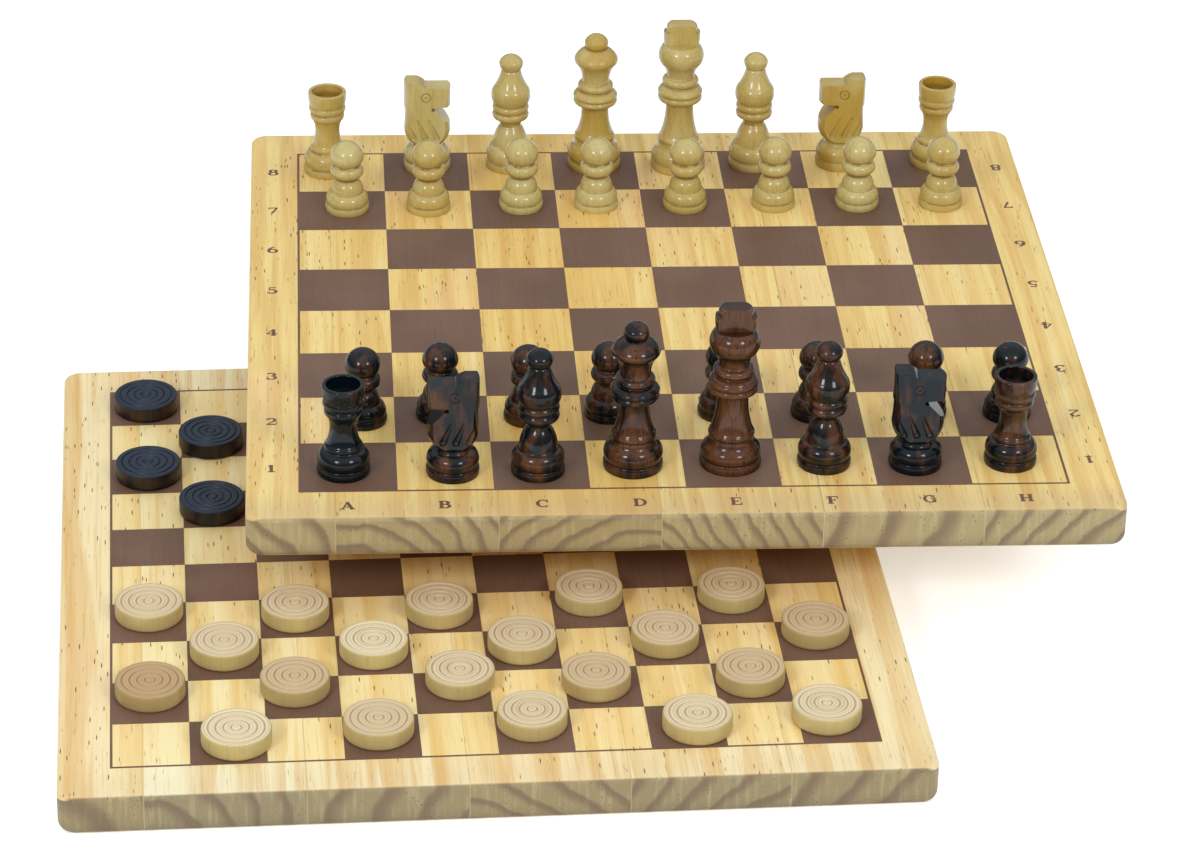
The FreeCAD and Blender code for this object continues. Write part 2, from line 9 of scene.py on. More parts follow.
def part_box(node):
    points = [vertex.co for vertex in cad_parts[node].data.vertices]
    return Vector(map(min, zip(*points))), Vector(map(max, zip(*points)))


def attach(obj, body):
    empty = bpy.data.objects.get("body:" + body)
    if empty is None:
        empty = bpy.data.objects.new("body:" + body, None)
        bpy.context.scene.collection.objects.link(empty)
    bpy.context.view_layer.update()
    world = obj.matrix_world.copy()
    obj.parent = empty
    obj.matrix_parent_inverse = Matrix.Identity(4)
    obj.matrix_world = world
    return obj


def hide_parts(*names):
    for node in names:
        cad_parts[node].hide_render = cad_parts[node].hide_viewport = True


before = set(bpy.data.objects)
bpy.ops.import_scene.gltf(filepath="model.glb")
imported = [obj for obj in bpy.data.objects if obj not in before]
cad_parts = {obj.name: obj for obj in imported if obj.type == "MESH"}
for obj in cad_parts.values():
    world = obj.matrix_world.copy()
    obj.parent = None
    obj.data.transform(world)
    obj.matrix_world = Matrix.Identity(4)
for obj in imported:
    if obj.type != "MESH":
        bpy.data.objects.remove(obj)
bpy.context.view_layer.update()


# The draughts board lies on the table and carries the rest. It is six pine staves with the grain running
# front to back, glued edge to edge, planed, cut to a square with rounded corners and edges, and sealed with
# a thin satin varnish.
scene = bpy.context.scene
# the frame is in metres, and the sizes of the pieces are given in millimetres
MM = 0.001
SAME_PLACE = 0.001 * MM
SHARP_EDGE = math.radians(38)


def colour(red, green, blue):
    """A colour as it is seen, 0 to 255, in the linear light that shaders reckon in."""
    parts = [value / 255 for value in (red, green, blue)]
    return tuple(v / 12.92 if v <= 0.04045 else ((v + 0.055) / 1.055) ** 2.4 for v in parts) + (1,)


class Wire:
    """An output of a shader node that reckons like a number. Each sum adds a Math node."""

    def __init__(self, finish, socket):
        self.finish = finish
        self.socket = socket

    def also(self, name):
        """Another output of the same node."""
        return Wire(self.finish, self.socket.node.outputs[name])

    def maths(self, operation, *values):
        return self.finish.node("Math", {"operation": operation}, dict(enumerate(values)))

    def __add__(self, other):
        return self.maths("ADD", self, other)

    def __sub__(self, other):
        return self.maths("SUBTRACT", self, other)

    def __rsub__(self, other):
        return self.maths("SUBTRACT", other, self)

    def __mul__(self, other):
        return self.maths("MULTIPLY", self, other)

    def __truediv__(self, other):
        return self.maths("DIVIDE", self, other)

    def __mod__(self, other):
        return self.maths("FLOORED_MODULO", self, other)

    def __pow__(self, other):
        return self.maths("POWER", self, other)

    def __gt__(self, other):
        return self.maths("GREATER_THAN", self, other)

    def __abs__(self):
        return self.maths("ABSOLUTE", self)

    def or_more(self, other):
        """The greater of the two."""
        return self.maths("MAXIMUM", self, other)

    __radd__ = __add__
    __rmul__ = __mul__


class Finish:
    """A material: one Principled shader, and the nodes that feed it."""

    def __init__(self, name, **constants):
        self.material = bpy.data.materials.new(name)
        self.material.use_nodes = True
        self.tree = self.material.node_tree
        self.shader = self.tree.nodes["Principled BSDF"]
        self.feed_shader(**constants)

    def node(self, kind, settings, sockets, out=0):
        """A shader node of any kind: its settings first, then values or links for its sockets."""
        made = self.tree.nodes.new("ShaderNode" + kind)
        for name, value in settings.items():
            setattr(made, name, value)
        for name, value in sockets.items():
            self.feed(made.inputs[name], value)
        return Wire(self, made.outputs[out])

    def feed(self, socket, value):
        if isinstance(value, Wire):
            self.tree.links.new(value.socket, socket)
        else:
            socket.default_value = value

    def feed_shader(self, **values):
        for name, value in values.items():
            self.feed(self.shader.inputs[name.replace("_", " ")], value)

    def place(self, middle=(0, 0, 0), turn=0):
        """Where a point lies on a piece, in millimetres from its middle and square to it."""
        here = self.node("TexCoord", {}, {}, "Object")
        sockets = {"Vector": here, "Location": middle, "Rotation": (0, 0, turn), "Scale": (MM, MM, MM)}
        return self.node("Mapping", {"vector_type": "TEXTURE"}, sockets)

    def axes(self, place):
        split = self.node("SeparateXYZ", {}, {"Vector": place})
        return split, split.also("Y"), split.also("Z")

    def drawn(self, place, *factors):
        """A place drawn out along its axes, for a pattern that runs with the grain."""
        return self.node("VectorMath", {"operation": "MULTIPLY"}, {0: place, 1: factors})

    def attribute(self, name, out="Fac"):
        return self.node("Attribute", {"attribute_name": name}, {}, out)

    def noise(self, place, detail=2.0, roughness=0.5):
        sockets = {"Vector": place, "Scale": 1, "Detail": detail, "Roughness": roughness}
        return self.node("TexNoise", {}, sockets)

    def cells(self, place):
        """Scattered cells: how far a point lies from its cell's middle, and a number of the cell's own."""
        distance = self.node("TexVoronoi", {}, {"Vector": place, "Scale": 1})
        return distance, self.node("SeparateColor", {}, {0: distance.also("Color")})

    def band(self, value, low, high):
        """A soft step: 0 below low and 1 above high. The other way round where low is the greater."""
        sockets = {"Value": value, "From Min": low, "From Max": high}
        return self.node("MapRange", {"interpolation_type": "SMOOTHSTEP"}, sockets)

    def mix(self, share, first, second):
        """The first colour, with a share of the second."""
        return self.node("Mix", {"data_type": "RGBA"}, {0: share, 6: first, 7: second}, 2)

    def bump(self, height, depth):
        """The shader's normal from a relief, whose whole height is depth millimetres."""
        return self.node("Bump", {}, {"Strength": 1, "Distance": depth * MM, "Height": height})


def merged(node):
    """Points and triangles of a CAD node, with the corners that lie together made one."""
    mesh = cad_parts[node].data
    points = np.empty(len(mesh.vertices) * 3, np.float32)
    mesh.vertices.foreach_get("co", points)
    points = points.reshape(-1, 3)
    corners = np.empty(len(mesh.loops), np.int32)
    mesh.loops.foreach_get("vertex_index", corners)
    steps = np.round(points / SAME_PLACE).astype(np.int64)
    _, first, same = np.unique(steps, axis=0, return_index=True, return_inverse=True)
    faces = same.ravel()[corners].reshape(-1, 3)
    whole = (faces[:, 0] != faces[:, 1]) & (faces[:, 1] != faces[:, 2]) & (faces[:, 2] != faces[:, 0])
    return points[first].astype(float), faces[whole]


def skin(name, points, faces, finish):
    """A piece of the object from points and triangles, smooth but for its sharp edges."""
    mesh = bpy.data.meshes.new(name)
    mesh.vertices.add(len(points))
    mesh.vertices.foreach_set("co", points.astype(np.float32).ravel())
    mesh.loops.add(faces.size)
    mesh.loops.foreach_set("vertex_index", faces.astype(np.int32).ravel())
    mesh.polygons.add(len(faces))
    mesh.polygons.foreach_set("loop_start", np.arange(0, faces.size, 3, dtype=np.int32))
    mesh.update(calc_edges=True)
    mesh.validate()
    mesh.shade_smooth()
    mesh.set_sharp_from_angle(angle=SHARP_EDGE)
    mesh.materials.append(finish.material)
    piece = bpy.data.objects.new(name, mesh)
    scene.collection.objects.link(piece)
    return piece


class Board:
    """A glued board as the frame has it: its skin without the glued faces, its place and its print's size."""

    def __init__(self, node, print_node):
        points, faces = merged(node)
        edges = points[faces]
        normals = np.cross(edges[:, 1] - edges[:, 0], edges[:, 2] - edges[:, 0])
        areas = np.linalg.norm(normals, axis=1)
        normals = normals / areas[:, None]
        facing_right = normals[:, 0] > 0.99
        right = (normals[facing_right] * areas[facing_right, None]).sum(0)
        self.turn = math.atan2(right[1], right[0])
        self.low, self.high = points.min(0), points.max(0)
        self.middle = Vector(((self.low + self.high) / 2)[:2]).to_3d() + Vector((0, 0, self.low[2]))
        self.thickness = (self.high[2] - self.low[2]) / MM

        across = self.local(edges.mean(1))[:, 0]
        self.side = 2 * across.max()
        upright = np.abs(normals @ right / np.linalg.norm(right)) > 0.999
        glued = upright & (np.abs(across) < self.side / 2 - 1)
        self.joints = sorted(set(np.round(across[glued], 1)))
        self.points, self.faces = points, faces[~glued]
        self.field_half = self.local(merged(print_node)[0])[:, 0].max()

    def local(self, points):
        """Points in millimetres from the board's middle, square to it."""
        turned_back = np.array(Matrix.Rotation(-self.turn, 3, "Z"))
        return (np.asarray(points) - np.array(self.middle)) @ turned_back.T / MM

    def world(self, across, along, up):
        """A point of the board, given in millimetres, as a place in the frame."""
        return self.middle + Matrix.Rotation(self.turn, 3, "Z") @ Vector((across, along, up)) * MM


# how the wood is drawn, with the least and the most where there are two
PITH_ASIDE = 34, 84
PITH_BELOW = 10, 44
RING_WIDTH = 7, 20
RING_DRIFT = 26
RING_FRAY = 5
CORNER_WIDTH = 7
CORNER_CREEP = 5
FRONT_GREYING_REACH = 24
GLUE_LINE = 0.3
PINE_RELIEF = 0.09


def between(limits, share):
    """A value between two limits, by a share that varies."""
    least, most = limits
    return least + share * (most - least)


def pine(name, board, seed, pale, deep, sawn_end, front_greying, warm):
    """Varnished pine: wide growth rings about a pith of each stave's own, resin flecks and end grain.

    Staves run from a pale colour to a deep one. The front end is coloured darker and greyer than the rest, by
    a share, and the printed field lies under a second, warmer coat.
    """
    wood = Finish(name, IOR=1.45, Specular_IOR_Level=0.35)
    place = wood.place(board.middle, board.turn)
    x, y, z = wood.axes(place)

    # every stave is cut from another place in a log, left or right of the pith
    stave = sum(x > joint for joint in board.joints)
    chance = wood.node("TexWhiteNoise", {"noise_dimensions": "1D"}, {"W": stave + seed}, "Color")
    chances = wood.node("SeparateColor", {}, {0: chance})
    tone, pith_side, pith_depth = chances, chances.also("Green"), chances.also("Blue")
    stave_width = board.side / (len(board.joints) + 1)
    from_middle = x - (stave + 0.5) * stave_width + board.side / 2

    # growth rings about the pith, which wander a little along the stave and are frayed by the fibres
    fibre = wood.noise(wood.drawn(place, 1.6, 0.035, 1.6), 4, 0.6)
    drift = wood.noise(wood.drawn(place, 0.012, 0.004, 0.02), 2)
    fray = wood.noise(wood.drawn(place, 0.12, 0.009, 0.06), 2)
    left_or_right = (pith_side > 0.5) * 2 - 1
    ring_across = from_middle + left_or_right * between(PITH_ASIDE, pith_depth)
    ring_up = z + between(PITH_BELOW, tone)
    radius = (ring_across * ring_across + ring_up * ring_up) ** 0.5
    radius = radius + (drift - 0.5) * RING_DRIFT + (fray - 0.5) * RING_FRAY
    ring = (radius / between(RING_WIDTH, pith_depth) + tone * 7) % 1
    late = wood.band(ring, 0.3, 0.85) * wood.band(ring, 1.0, 0.9)

    streak = wood.noise(wood.drawn(place, 0.2, 0.006, 0.2), 3, 0.6)
    blush = wood.noise(wood.drawn(place, 0.03, 0.012, 0.03), 2)

    # resin canals: short dashes along the grain, which crowd in some places
    from_canal, pick = wood.cells(wood.drawn(place, 0.75, 0.1, 0.6))
    crowd = wood.noise(wood.drawn(place, 0.03, 0.014, 0.04), 2)
    canal = wood.band(from_canal, 0.24, 0.12) * (pick > 0.6)
    dash = canal * wood.band(crowd, 0.45, 0.54)
    hair = wood.noise(wood.drawn(place, 1.5, 0.09, 1.5), 2, 0.5)
    fleck = dash + (1 - dash) * wood.band(hair, 0.67, 0.74) * 0.6

    # end grain on the two sawn ends, which reaches round the corners below the top edge
    half = board.side / 2
    under_edge = wood.band(z, board.thickness - 1, board.thickness - 3)
    corner = wood.band(abs(x), half - CORNER_WIDTH, half - 1) * under_edge
    ends = wood.band(abs(y) + corner * CORNER_CREEP, half - 1.6, half - 0.5)
    front = wood.band(y, FRONT_GREYING_REACH - half, 5 - half)
    field = wood.band(abs(x).or_more(abs(y)), board.field_half + 1, board.field_half - 1)
    glue = sum(wood.band(abs(x - joint), GLUE_LINE, GLUE_LINE / 3) for joint in board.joints)

    face = wood.mix(tone, pale, deep)
    face = wood.mix(late * 0.5, face, colour(224, 172, 88))
    face = wood.mix(wood.band(streak, 0.46, 0.72) * 0.6, face, colour(222, 168, 84))
    face = wood.mix(wood.band(streak, 0.44, 0.26) * 0.4, face, colour(252, 232, 178))
    face = wood.mix(wood.band(blush, 0.52, 0.72) * 0.35, face, colour(242, 198, 146))
    face = wood.mix(wood.band(fibre, 0.48, 0.75) * 0.36, face, colour(200, 146, 70))
    # the front end coloured darker and greyer than the rest, by a share
    face = wood.mix(front * front_greying, face, colour(180, 156, 136))
    face = wood.mix(field * warm, face, colour(250, 214, 120))
    face = wood.mix(glue * 0.35, face, colour(186, 140, 78))
    face = wood.mix(fleck * 0.85, face, colour(98, 62, 28))

    speck = wood.noise(wood.drawn(place, 1.9, 0.4, 1.9), 3, 0.7)
    saw_mark = wood.noise(wood.drawn(place, 0.5, 0.4, 0.04), 3, 0.6)
    dark_ring = wood.band(ring, 0.42, 0.8) * wood.band(ring, 1.0, 0.84)
    sawn = wood.mix(tone * 0.6, sawn_end, colour(160, 136, 92))
    sawn = wood.mix(wood.band(saw_mark, 0.45, 0.75) * 0.45, sawn, colour(198, 180, 134))
    sawn = wood.mix(dark_ring * 0.68, sawn, colour(116, 91, 74))
    sawn = wood.mix(wood.band(speck, 0.5, 0.72) * 0.35, sawn, colour(132, 108, 74))
    # painted shade: the sawn ends are darkened and greyed towards their bottom edge, next to the table
    sawn = wood.mix(wood.band(z, 8, 0) * 0.35, sawn, colour(110, 98, 82))
    sawn = wood.mix(canal * wood.band(saw_mark, 0.42, 0.6) * 0.8, sawn, colour(84, 60, 38))
    sawn = wood.mix(glue * 0.4, sawn, colour(205, 188, 144))
    wood.feed_shader(Base_Color=wood.mix(ends, face, sawn))
    wood.feed_shader(Roughness=0.38 + fibre * 0.16 + ends * 0.12)
    height = fibre * 0.4 - fleck * 0.8 - late * 0.2 - glue * 0.5
    wood.feed_shader(Normal=wood.bump(height, PINE_RELIEF))
    return wood


draughts = Board("draughts_board", "draughts_print")
draughts_wood = pine("draughts_pine", draughts, 3.0, pale=colour(250, 236, 192), deep=colour(250, 223, 170),
                     sawn_end=colour(150, 134, 100), front_greying=0.1, warm=0.35)
draughts_board = skin("draughts_staves", draughts.points, draughts.faces, draughts_wood)
draughts_board.modifiers.new("flat_faces", "WEIGHTED_NORMAL").keep_sharp = True
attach(draughts_board, "draughts_board")
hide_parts("draughts_board")


# The draughts print: fifty dark squares and a thin border line, screen-printed on the varnish in brown ink.
# It lies on the board a tenth of a millimetre thick. The grain shows faintly through it.


def screen_print(name, board):
    """Brown printing ink, a little thinner along the fibres, with pinholes over the pores."""
    ink = Finish(name, IOR=1.45, Specular_IOR_Level=0.3)
    place = ink.place(board.middle, board.turn)
    fibre = ink.noise(ink.drawn(place, 1.4, 0.03, 1), 4, 0.6)
    cloud = ink.noise(ink.drawn(place, 0.03, 0.02, 0.03), 2)
    from_pore, pick = ink.cells(ink.drawn(place, 0.5, 0.12, 0.5))
    pinhole = ink.band(from_pore, 0.09, 0.04) * (pick > 0.8)
    tint = ink.mix(ink.band(cloud, 0.35, 0.7), colour(112, 82, 64), colour(123, 92, 74))
    tint = ink.mix(ink.band(fibre, 0.45, 0.75) * 0.3, tint, colour(98, 70, 54))
    ink.feed_shader(Base_Color=ink.mix(pinhole * 0.4, tint, colour(176, 142, 104)))
    ink.feed_shader(Roughness=0.42 + fibre * 0.14)
    ink.feed_shader(Normal=ink.bump(fibre - pinhole, 0.04))
    return ink


def print_with(node, ink):
    """Gives a printed node of the frame its ink."""
    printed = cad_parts[node]
    printed.data.materials.clear()
    printed.data.materials.append(ink.material)


print_with("draughts_print", screen_print("draughts_ink", draughts))


# The draughtsmen: discs parted off a turned rod, with a softened foot and four rings cut into the upper face.
# The light ones are bare wood, and the dark ones are stained black-brown. They only lie on the board or on
# each other.
MAN_SEGMENTS = 112
RING_COUNT = 4
FIRST_RING = 1.9
RING_PITCH = 2.85
RING_HALF_WIDTH = 0.4
RING_BOTTOM_HALF = 0.12
RING_DEPTH = 0.5
LAND_CROWN = 0.12
FOOT_INSET = 1.0
FOOT_HEIGHT = 1.4
FOOT_BULGE = 0.3
SHOULDER_INSET = 0.7
SHOULDER_HEIGHT = 0.8
SHOULDER_BULGE = 0.2
ARC_STEPS = 4
STRAIGHT_STEPS = 3
TONE_SPREAD = 0.06

man_low, man_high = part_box("dark_man_1")
MAN_RADIUS = (man_high.x - man_low.x) / 2 / MM
MAN_HEIGHT = (man_high.z - man_low.z) / MM


def arc(start, end, bulge, steps):
    """Points along a shallow arc from start to end, which stands out from its chord by bulge."""
    start, end = Vector(start), Vector(end)
    chord = end - start
    out = Vector((chord.y, -chord.x)).normalized()
    shares = [step / steps for step in range(1, steps + 1)]
    return [start + chord * share + out * bulge * math.sin(math.pi * share) for share in shares]


def man_outline():
    """Half of a man's section from the underside's middle round to the top's, as edges for the lathe."""
    foot = (MAN_RADIUS - FOOT_INSET, 0)
    belly = (MAN_RADIUS, FOOT_HEIGHT)
    shoulder = (MAN_RADIUS, MAN_HEIGHT - SHOULDER_HEIGHT)
    rim = (MAN_RADIUS - SHOULDER_INSET, MAN_HEIGHT)
    section = [Vector((0, 0)), Vector((MAN_RADIUS / 2, 0)), Vector(foot)]
    section += arc(foot, belly, FOOT_BULGE, ARC_STEPS)
    section += arc(belly, shoulder, 0, STRAIGHT_STEPS)
    section += arc(shoulder, rim, SHOULDER_BULGE, ARC_STEPS)
    land = MAN_HEIGHT - LAND_CROWN
    for ring in reversed(range(RING_COUNT)):
        middle = FIRST_RING + ring * RING_PITCH
        section += arc(section[-1], (middle + RING_HALF_WIDTH, land), LAND_CROWN / 2, ARC_STEPS)
        section.append(Vector((middle + RING_BOTTOM_HALF, MAN_HEIGHT - RING_DEPTH)))
        section.append(Vector((middle - RING_BOTTOM_HALF, MAN_HEIGHT - RING_DEPTH)))
        section.append(Vector((middle - RING_HALF_WIDTH, land)))
    section += arc(section[-1], (0, MAN_HEIGHT), 0, STRAIGHT_STEPS)
    mesh = bpy.data.meshes.new("man_outline")
    chain = [(place, place + 1) for place in range(len(section) - 1)]
    mesh.from_pydata([(point.x * MM, 0, point.y * MM) for point in section], chain, [])
    return mesh


def lathe():
    """Geometry Nodes that turn an outline about its axis, pile the pieces up and put them in their place."""
    tree = bpy.data.node_groups.new("lathe", "GeometryNodeTree")
    sockets = [("Outline", "Geometry"), ("Segments", "Int"), ("Pile", "Int"), ("Rise", "Float"),
               ("Place", "Vector"), ("Tone", "Float"), ("Seed", "Int"), ("Finish", "Material")]
    for name, kind in sockets:
        tree.interface.new_socket(name, in_out="INPUT", socket_type="NodeSocket" + kind)
    tree.interface.new_socket("Pieces", in_out="OUTPUT", socket_type="NodeSocketGeometry")
    given = tree.nodes.new("NodeGroupInput").outputs

    def add(kind, settings, inputs, out=0):
        made = tree.nodes.new(kind)
        for name, value in settings.items():
            setattr(made, name, value)
        for name, value in inputs.items():
            if isinstance(value, bpy.types.NodeSocket):
                tree.links.new(value, made.inputs[name])
            else:
                made.inputs[name].default_value = value
        return made.outputs[out]

    def maths(operation, *values):
        return add("ShaderNodeMath", {"operation": operation}, dict(enumerate(values)))

    def by_chance(least, most):
        limits = {"Min": least, "Max": most, "Seed": given["Seed"]}
        return add("FunctionNodeRandomValue", {"data_type": "FLOAT"}, limits, 1)

    # a flat grid, whose rows become the points of the outline and whose columns go once round
    rows = add("GeometryNodeAttributeDomainSize", {"component": "MESH"}, {0: given["Outline"]})
    columns = maths("ADD", given["Segments"], 1)
    grid = add("GeometryNodeMeshGrid", {},
               {"Size X": 1, "Size Y": 1, "Vertices X": columns, "Vertices Y": rows})
    position = add("GeometryNodeInputPosition", {}, {})
    share = add("ShaderNodeSeparateXYZ", {}, {0: position}).node.outputs
    row = maths("ROUND", maths("MULTIPLY", maths("ADD", share["Y"], 0.5), maths("SUBTRACT", rows, 1)))
    angle = maths("MULTIPLY", maths("ADD", share["X"], 0.5), math.tau)
    point = add("GeometryNodeSampleIndex", {"data_type": "FLOAT_VECTOR"},
                {"Geometry": given["Outline"], "Value": position, "Index": row})
    turned = add("ShaderNodeVectorRotate", {"rotation_type": "Z_AXIS"}, {"Vector": point, "Angle": angle})
    shaped = add("GeometryNodeSetPosition", {}, {"Geometry": grid, "Position": turned})
    closed = add("GeometryNodeMergeByDistance", {}, {"Geometry": shaped, "Distance": SAME_PLACE})
    marked = add("GeometryNodeStoreNamedAttribute", {"data_type": "FLOAT_VECTOR", "domain": "POINT"},
                 {"Geometry": closed, "Name": "on_lathe", "Value": position})

    # a pile of them, each turned its own way and of its own tone
    steps = add("ShaderNodeCombineXYZ", {}, {"Z": given["Rise"]})
    seats = add("GeometryNodeMeshLine", {},
                {"Count": given["Pile"], "Start Location": given["Place"], "Offset": steps})
    turn = add("ShaderNodeCombineXYZ", {}, {"Z": by_chance(0, math.tau)})
    pile = add("GeometryNodeInstanceOnPoints", {}, {"Points": seats, "Instance": marked, "Rotation": turn})
    tone = maths("ADD", given["Tone"], by_chance(-TONE_SPREAD, TONE_SPREAD))
    toned = add("GeometryNodeStoreNamedAttribute", {"data_type": "FLOAT", "domain": "INSTANCE"},
                {"Geometry": pile, "Name": "tone", "Value": tone})
    whole = add("GeometryNodeRealizeInstances", {}, {"Geometry": toned})
    finished = add("GeometryNodeSetMaterial", {}, {"Geometry": whole, "Material": given["Finish"]})
    tree.links.new(finished, tree.nodes.new("NodeGroupOutput").inputs["Pieces"])
    return tree


man_lathe = lathe()
man_section = man_outline()
lathe_inputs = {item.name: item.identifier for item in man_lathe.interface.items_tree}


def turn_men(name, place, pile, tone, seed, finish):
    """A man, or a pile of men, as a plain mesh with its foot at a place."""
    piece = bpy.data.objects.new(name, man_section)
    scene.collection.objects.link(piece)
    turning = piece.modifiers.new("lathe", "NODES")
    turning.node_group = man_lathe
    values = {"Segments": MAN_SEGMENTS, "Pile": pile, "Rise": MAN_HEIGHT * MM, "Place": place,
              "Tone": tone, "Seed": seed, "Finish": finish.material}
    for socket, value in values.items():
        turning[lathe_inputs[socket]] = value
    depsgraph = bpy.context.evaluated_depsgraph_get()
    turned = piece.evaluated_get(depsgraph)
    mesh = bpy.data.meshes.new_from_object(turned, preserve_all_data_layers=True, depsgraph=depsgraph)
    piece.modifiers.clear()
    piece.data = mesh
    mesh.name = name
    mesh.shade_smooth()
    mesh.set_sharp_from_angle(angle=SHARP_EDGE)
    return piece


def on_a_man(finish):
    """Height and distance from the axis on a man, in millimetres, and the man's own tone."""
    x, y, z = (axis / MM for axis in finish.axes(finish.attribute("on_lathe", "Vector")))
    return z, (x * x + y * y) ** 0.5, finish.attribute("tone")


def bare_wood():
    """Bare turned wood, sanded: cream to pinkish brown on the end-grain top, long grain down the sides."""
    wood = Finish("bare_man_wood", IOR=1.42)
    z, radius, tone = on_a_man(wood)
    place = wood.place()
    tooling = wood.noise(wood.node("CombineXYZ", {}, {"X": radius * 2.6, "Y": tone * 60}), 3, 0.6)
    grain = wood.noise(wood.drawn(place, 0.9, 0.9, 0.05), 4, 0.6)
    fine = wood.noise(wood.drawn(place, 3.2, 3.2, 0.3), 3, 0.6)
    cloud = wood.noise(wood.drawn(place, 0.07, 0.07, 0.05), 2)
    near_top = wood.band(z, MAN_HEIGHT - 0.9, MAN_HEIGHT - 0.35)
    top = near_top * wood.band(radius, MAN_RADIUS - 0.2, MAN_RADIUS - 0.8)
    sunk = wood.band(z, MAN_HEIGHT - 0.1, MAN_HEIGHT - 0.4)
    groove = sunk * wood.band(radius, MAN_RADIUS - 0.9, MAN_RADIUS - 1.2)

    # fine traces of the tool between the cut rings and on them
    between_traces = (radius - FIRST_RING) / (RING_PITCH / 2) % 1
    trace = wood.band(abs(between_traces - 0.5), 0.34, 0.5) * top

    end_grain = wood.mix(tone, colour(246, 227, 188), colour(190, 152, 106))
    end_grain = wood.mix(wood.band(tooling, 0.45, 0.7) * 0.55, end_grain, colour(194, 162, 118))
    end_grain = wood.mix(wood.band(fine, 0.5, 0.75) * 0.3, end_grain, colour(172, 140, 104))
    end_grain = wood.mix(trace * 0.3, end_grain, colour(150, 118, 88))
    # painted shade: the cut rings are darkened
    end_grain = wood.mix(groove * 0.35, end_grain, colour(140, 110, 84))
    side = wood.mix(tone, colour(200, 178, 118), colour(164, 136, 88))
    side = wood.mix(wood.band(grain, 0.45, 0.75) * 0.5, side, colour(172, 144, 84))
    side = wood.mix(wood.band(cloud, 0.5, 0.7) * 0.4, side, colour(212, 194, 136))
    wood.feed_shader(Base_Color=wood.mix(wood.band(top + groove, 0.0, 1.0), side, end_grain))
    wood.feed_shader(Roughness=0.52 + grain * 0.2)
    height = tooling * top - trace * 0.8 + grain * (1 - top) * 0.7 + fine * 0.3
    wood.feed_shader(Normal=wood.bump(height, 0.1))
    return wood


def black_stain():
    """Stained wood with a waxy sheen, worn to brown on the sides, with a painted bluish sky reflection on the
    top.
    """
    stain = Finish("black_man_stain", IOR=1.48)
    z, radius, tone = on_a_man(stain)
    place = stain.place()
    tooling = stain.noise(stain.node("CombineXYZ", {}, {"X": radius * 2.4, "Y": tone * 60}), 3, 0.6)
    patch = stain.noise(stain.drawn(place, 0.22, 0.22, 0.05), 3, 0.55)
    grain = stain.noise(stain.drawn(place, 1.4, 1.4, 0.1), 4, 0.6)
    top = stain.band(z, MAN_HEIGHT - 0.9, MAN_HEIGHT - 0.35)
    side = stain.mix(stain.band(patch, 0.42, 0.68), colour(16, 10, 9), colour(58, 30, 15))
    side = stain.mix(stain.band(grain, 0.5, 0.75) * 0.4, side, colour(20, 14, 14))
    # painted reflection: the top is painted bluish, as if it mirrored the sky, over the turning marks
    crown_with_sky_reflection = stain.mix(stain.band(tooling, 0.4, 0.7), colour(14, 24, 38), colour(36, 52, 74))
    stain.feed_shader(Base_Color=stain.mix(top, side, crown_with_sky_reflection))
    stain.feed_shader(Roughness=0.34 + patch * 0.2, Specular_IOR_Level=0.4)
    stain.feed_shader(Normal=stain.bump(tooling * top + grain * 0.5, 0.08))
    return stain


def lay_men(node, name, place, pile, tone, seed, finish):
    """Turns a man or a pile of men for a node of the frame, whose body they ride on."""
    men = turn_men(name, place, pile, tone, seed, finish)
    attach(men, node)
    return men


def foot_of(low, high):
    """The middle of a box's underside."""
    return ((low.x + high.x) / 2, (low.y + high.y) / 2, low.z)


light_wood = bare_wood()
LIGHT_TONES = [
    [0.15, 0.45, 0.35, 0.25, 0.3],
    [0.9, 0.65, 0.35, 0.65, 0.6],
    [0.35, 0.06, 0.45, 0.5, 0.7],
]
for row, tones in enumerate(LIGHT_TONES, 1):
    for number, tone in enumerate(tones, 1):
        node = f"light_man_{row}_{number}"
        seat = foot_of(*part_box(node))
        seed = row * 10 + number
        man = lay_men(node, "turned_" + node, seat, 1, tone, seed, light_wood)
        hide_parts(node)

# the fourth row is one node of five men: their places are where its points crowd
LEAST_GAP = 5 * MM
FOURTH_TONES = [0.35, 0.3, 0.4, 0.3, 0.35]
row_points = merged("light_men_fourth_row")[0]
row_points = row_points[np.argsort(row_points[:, 0])]
gaps = np.nonzero(np.diff(row_points[:, 0]) > LEAST_GAP)[0] + 1
for number, (points, tone) in enumerate(zip(np.split(row_points, gaps), FOURTH_TONES), 1):
    name = f"turned_light_man_4_{number}"
    seat = foot_of(Vector(points.min(0)), Vector(points.max(0)))
    man = lay_men("light_men_fourth_row", name, seat, 1, tone, 40 + number, light_wood)
    if number == 1:
        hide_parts("light_men_fourth_row")

dark_stain = black_stain()
DARK_TONE = 0.5
for number in range(1, 5):
    for kind, pile in (("man", 1), ("stack", 4)):
        node = f"dark_{kind}_{number}"
        seat = foot_of(*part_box(node))
        seed = 60 + 10 * pile + number
        men = lay_men(node, "turned_" + node, seat, pile, DARK_TONE, seed, dark_stain)
        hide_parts(node)


# The chess board lies on four piles of dark men, a little askew. It is glued, rounded and varnished as the
# other one is, but thicker, from wider staves.
chess = Board("chess_board", "chess_print")
chess_wood = pine("chess_pine", chess, 41.0, pale=colour(249, 219, 145), deep=colour(240, 199, 114),
                  sawn_end=colour(176, 155, 112), front_greying=0.3, warm=0.0)
chess_board = skin("chess_staves", chess.points, chess.faces, chess_wood)
chess_board.modifiers.new("flat_faces", "WEIGHTED_NORMAL").keep_sharp = True
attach(chess_board, "chess_board")
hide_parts("chess_board")


# The chess print: thirty-two dark squares and a border line, in the same brown ink as on the draughts board.
# Round it stand the coordinates for both players: letters in front and behind, figures left and right.
chess_ink = screen_print("chess_ink", chess)
print_with("chess_print", chess_ink)

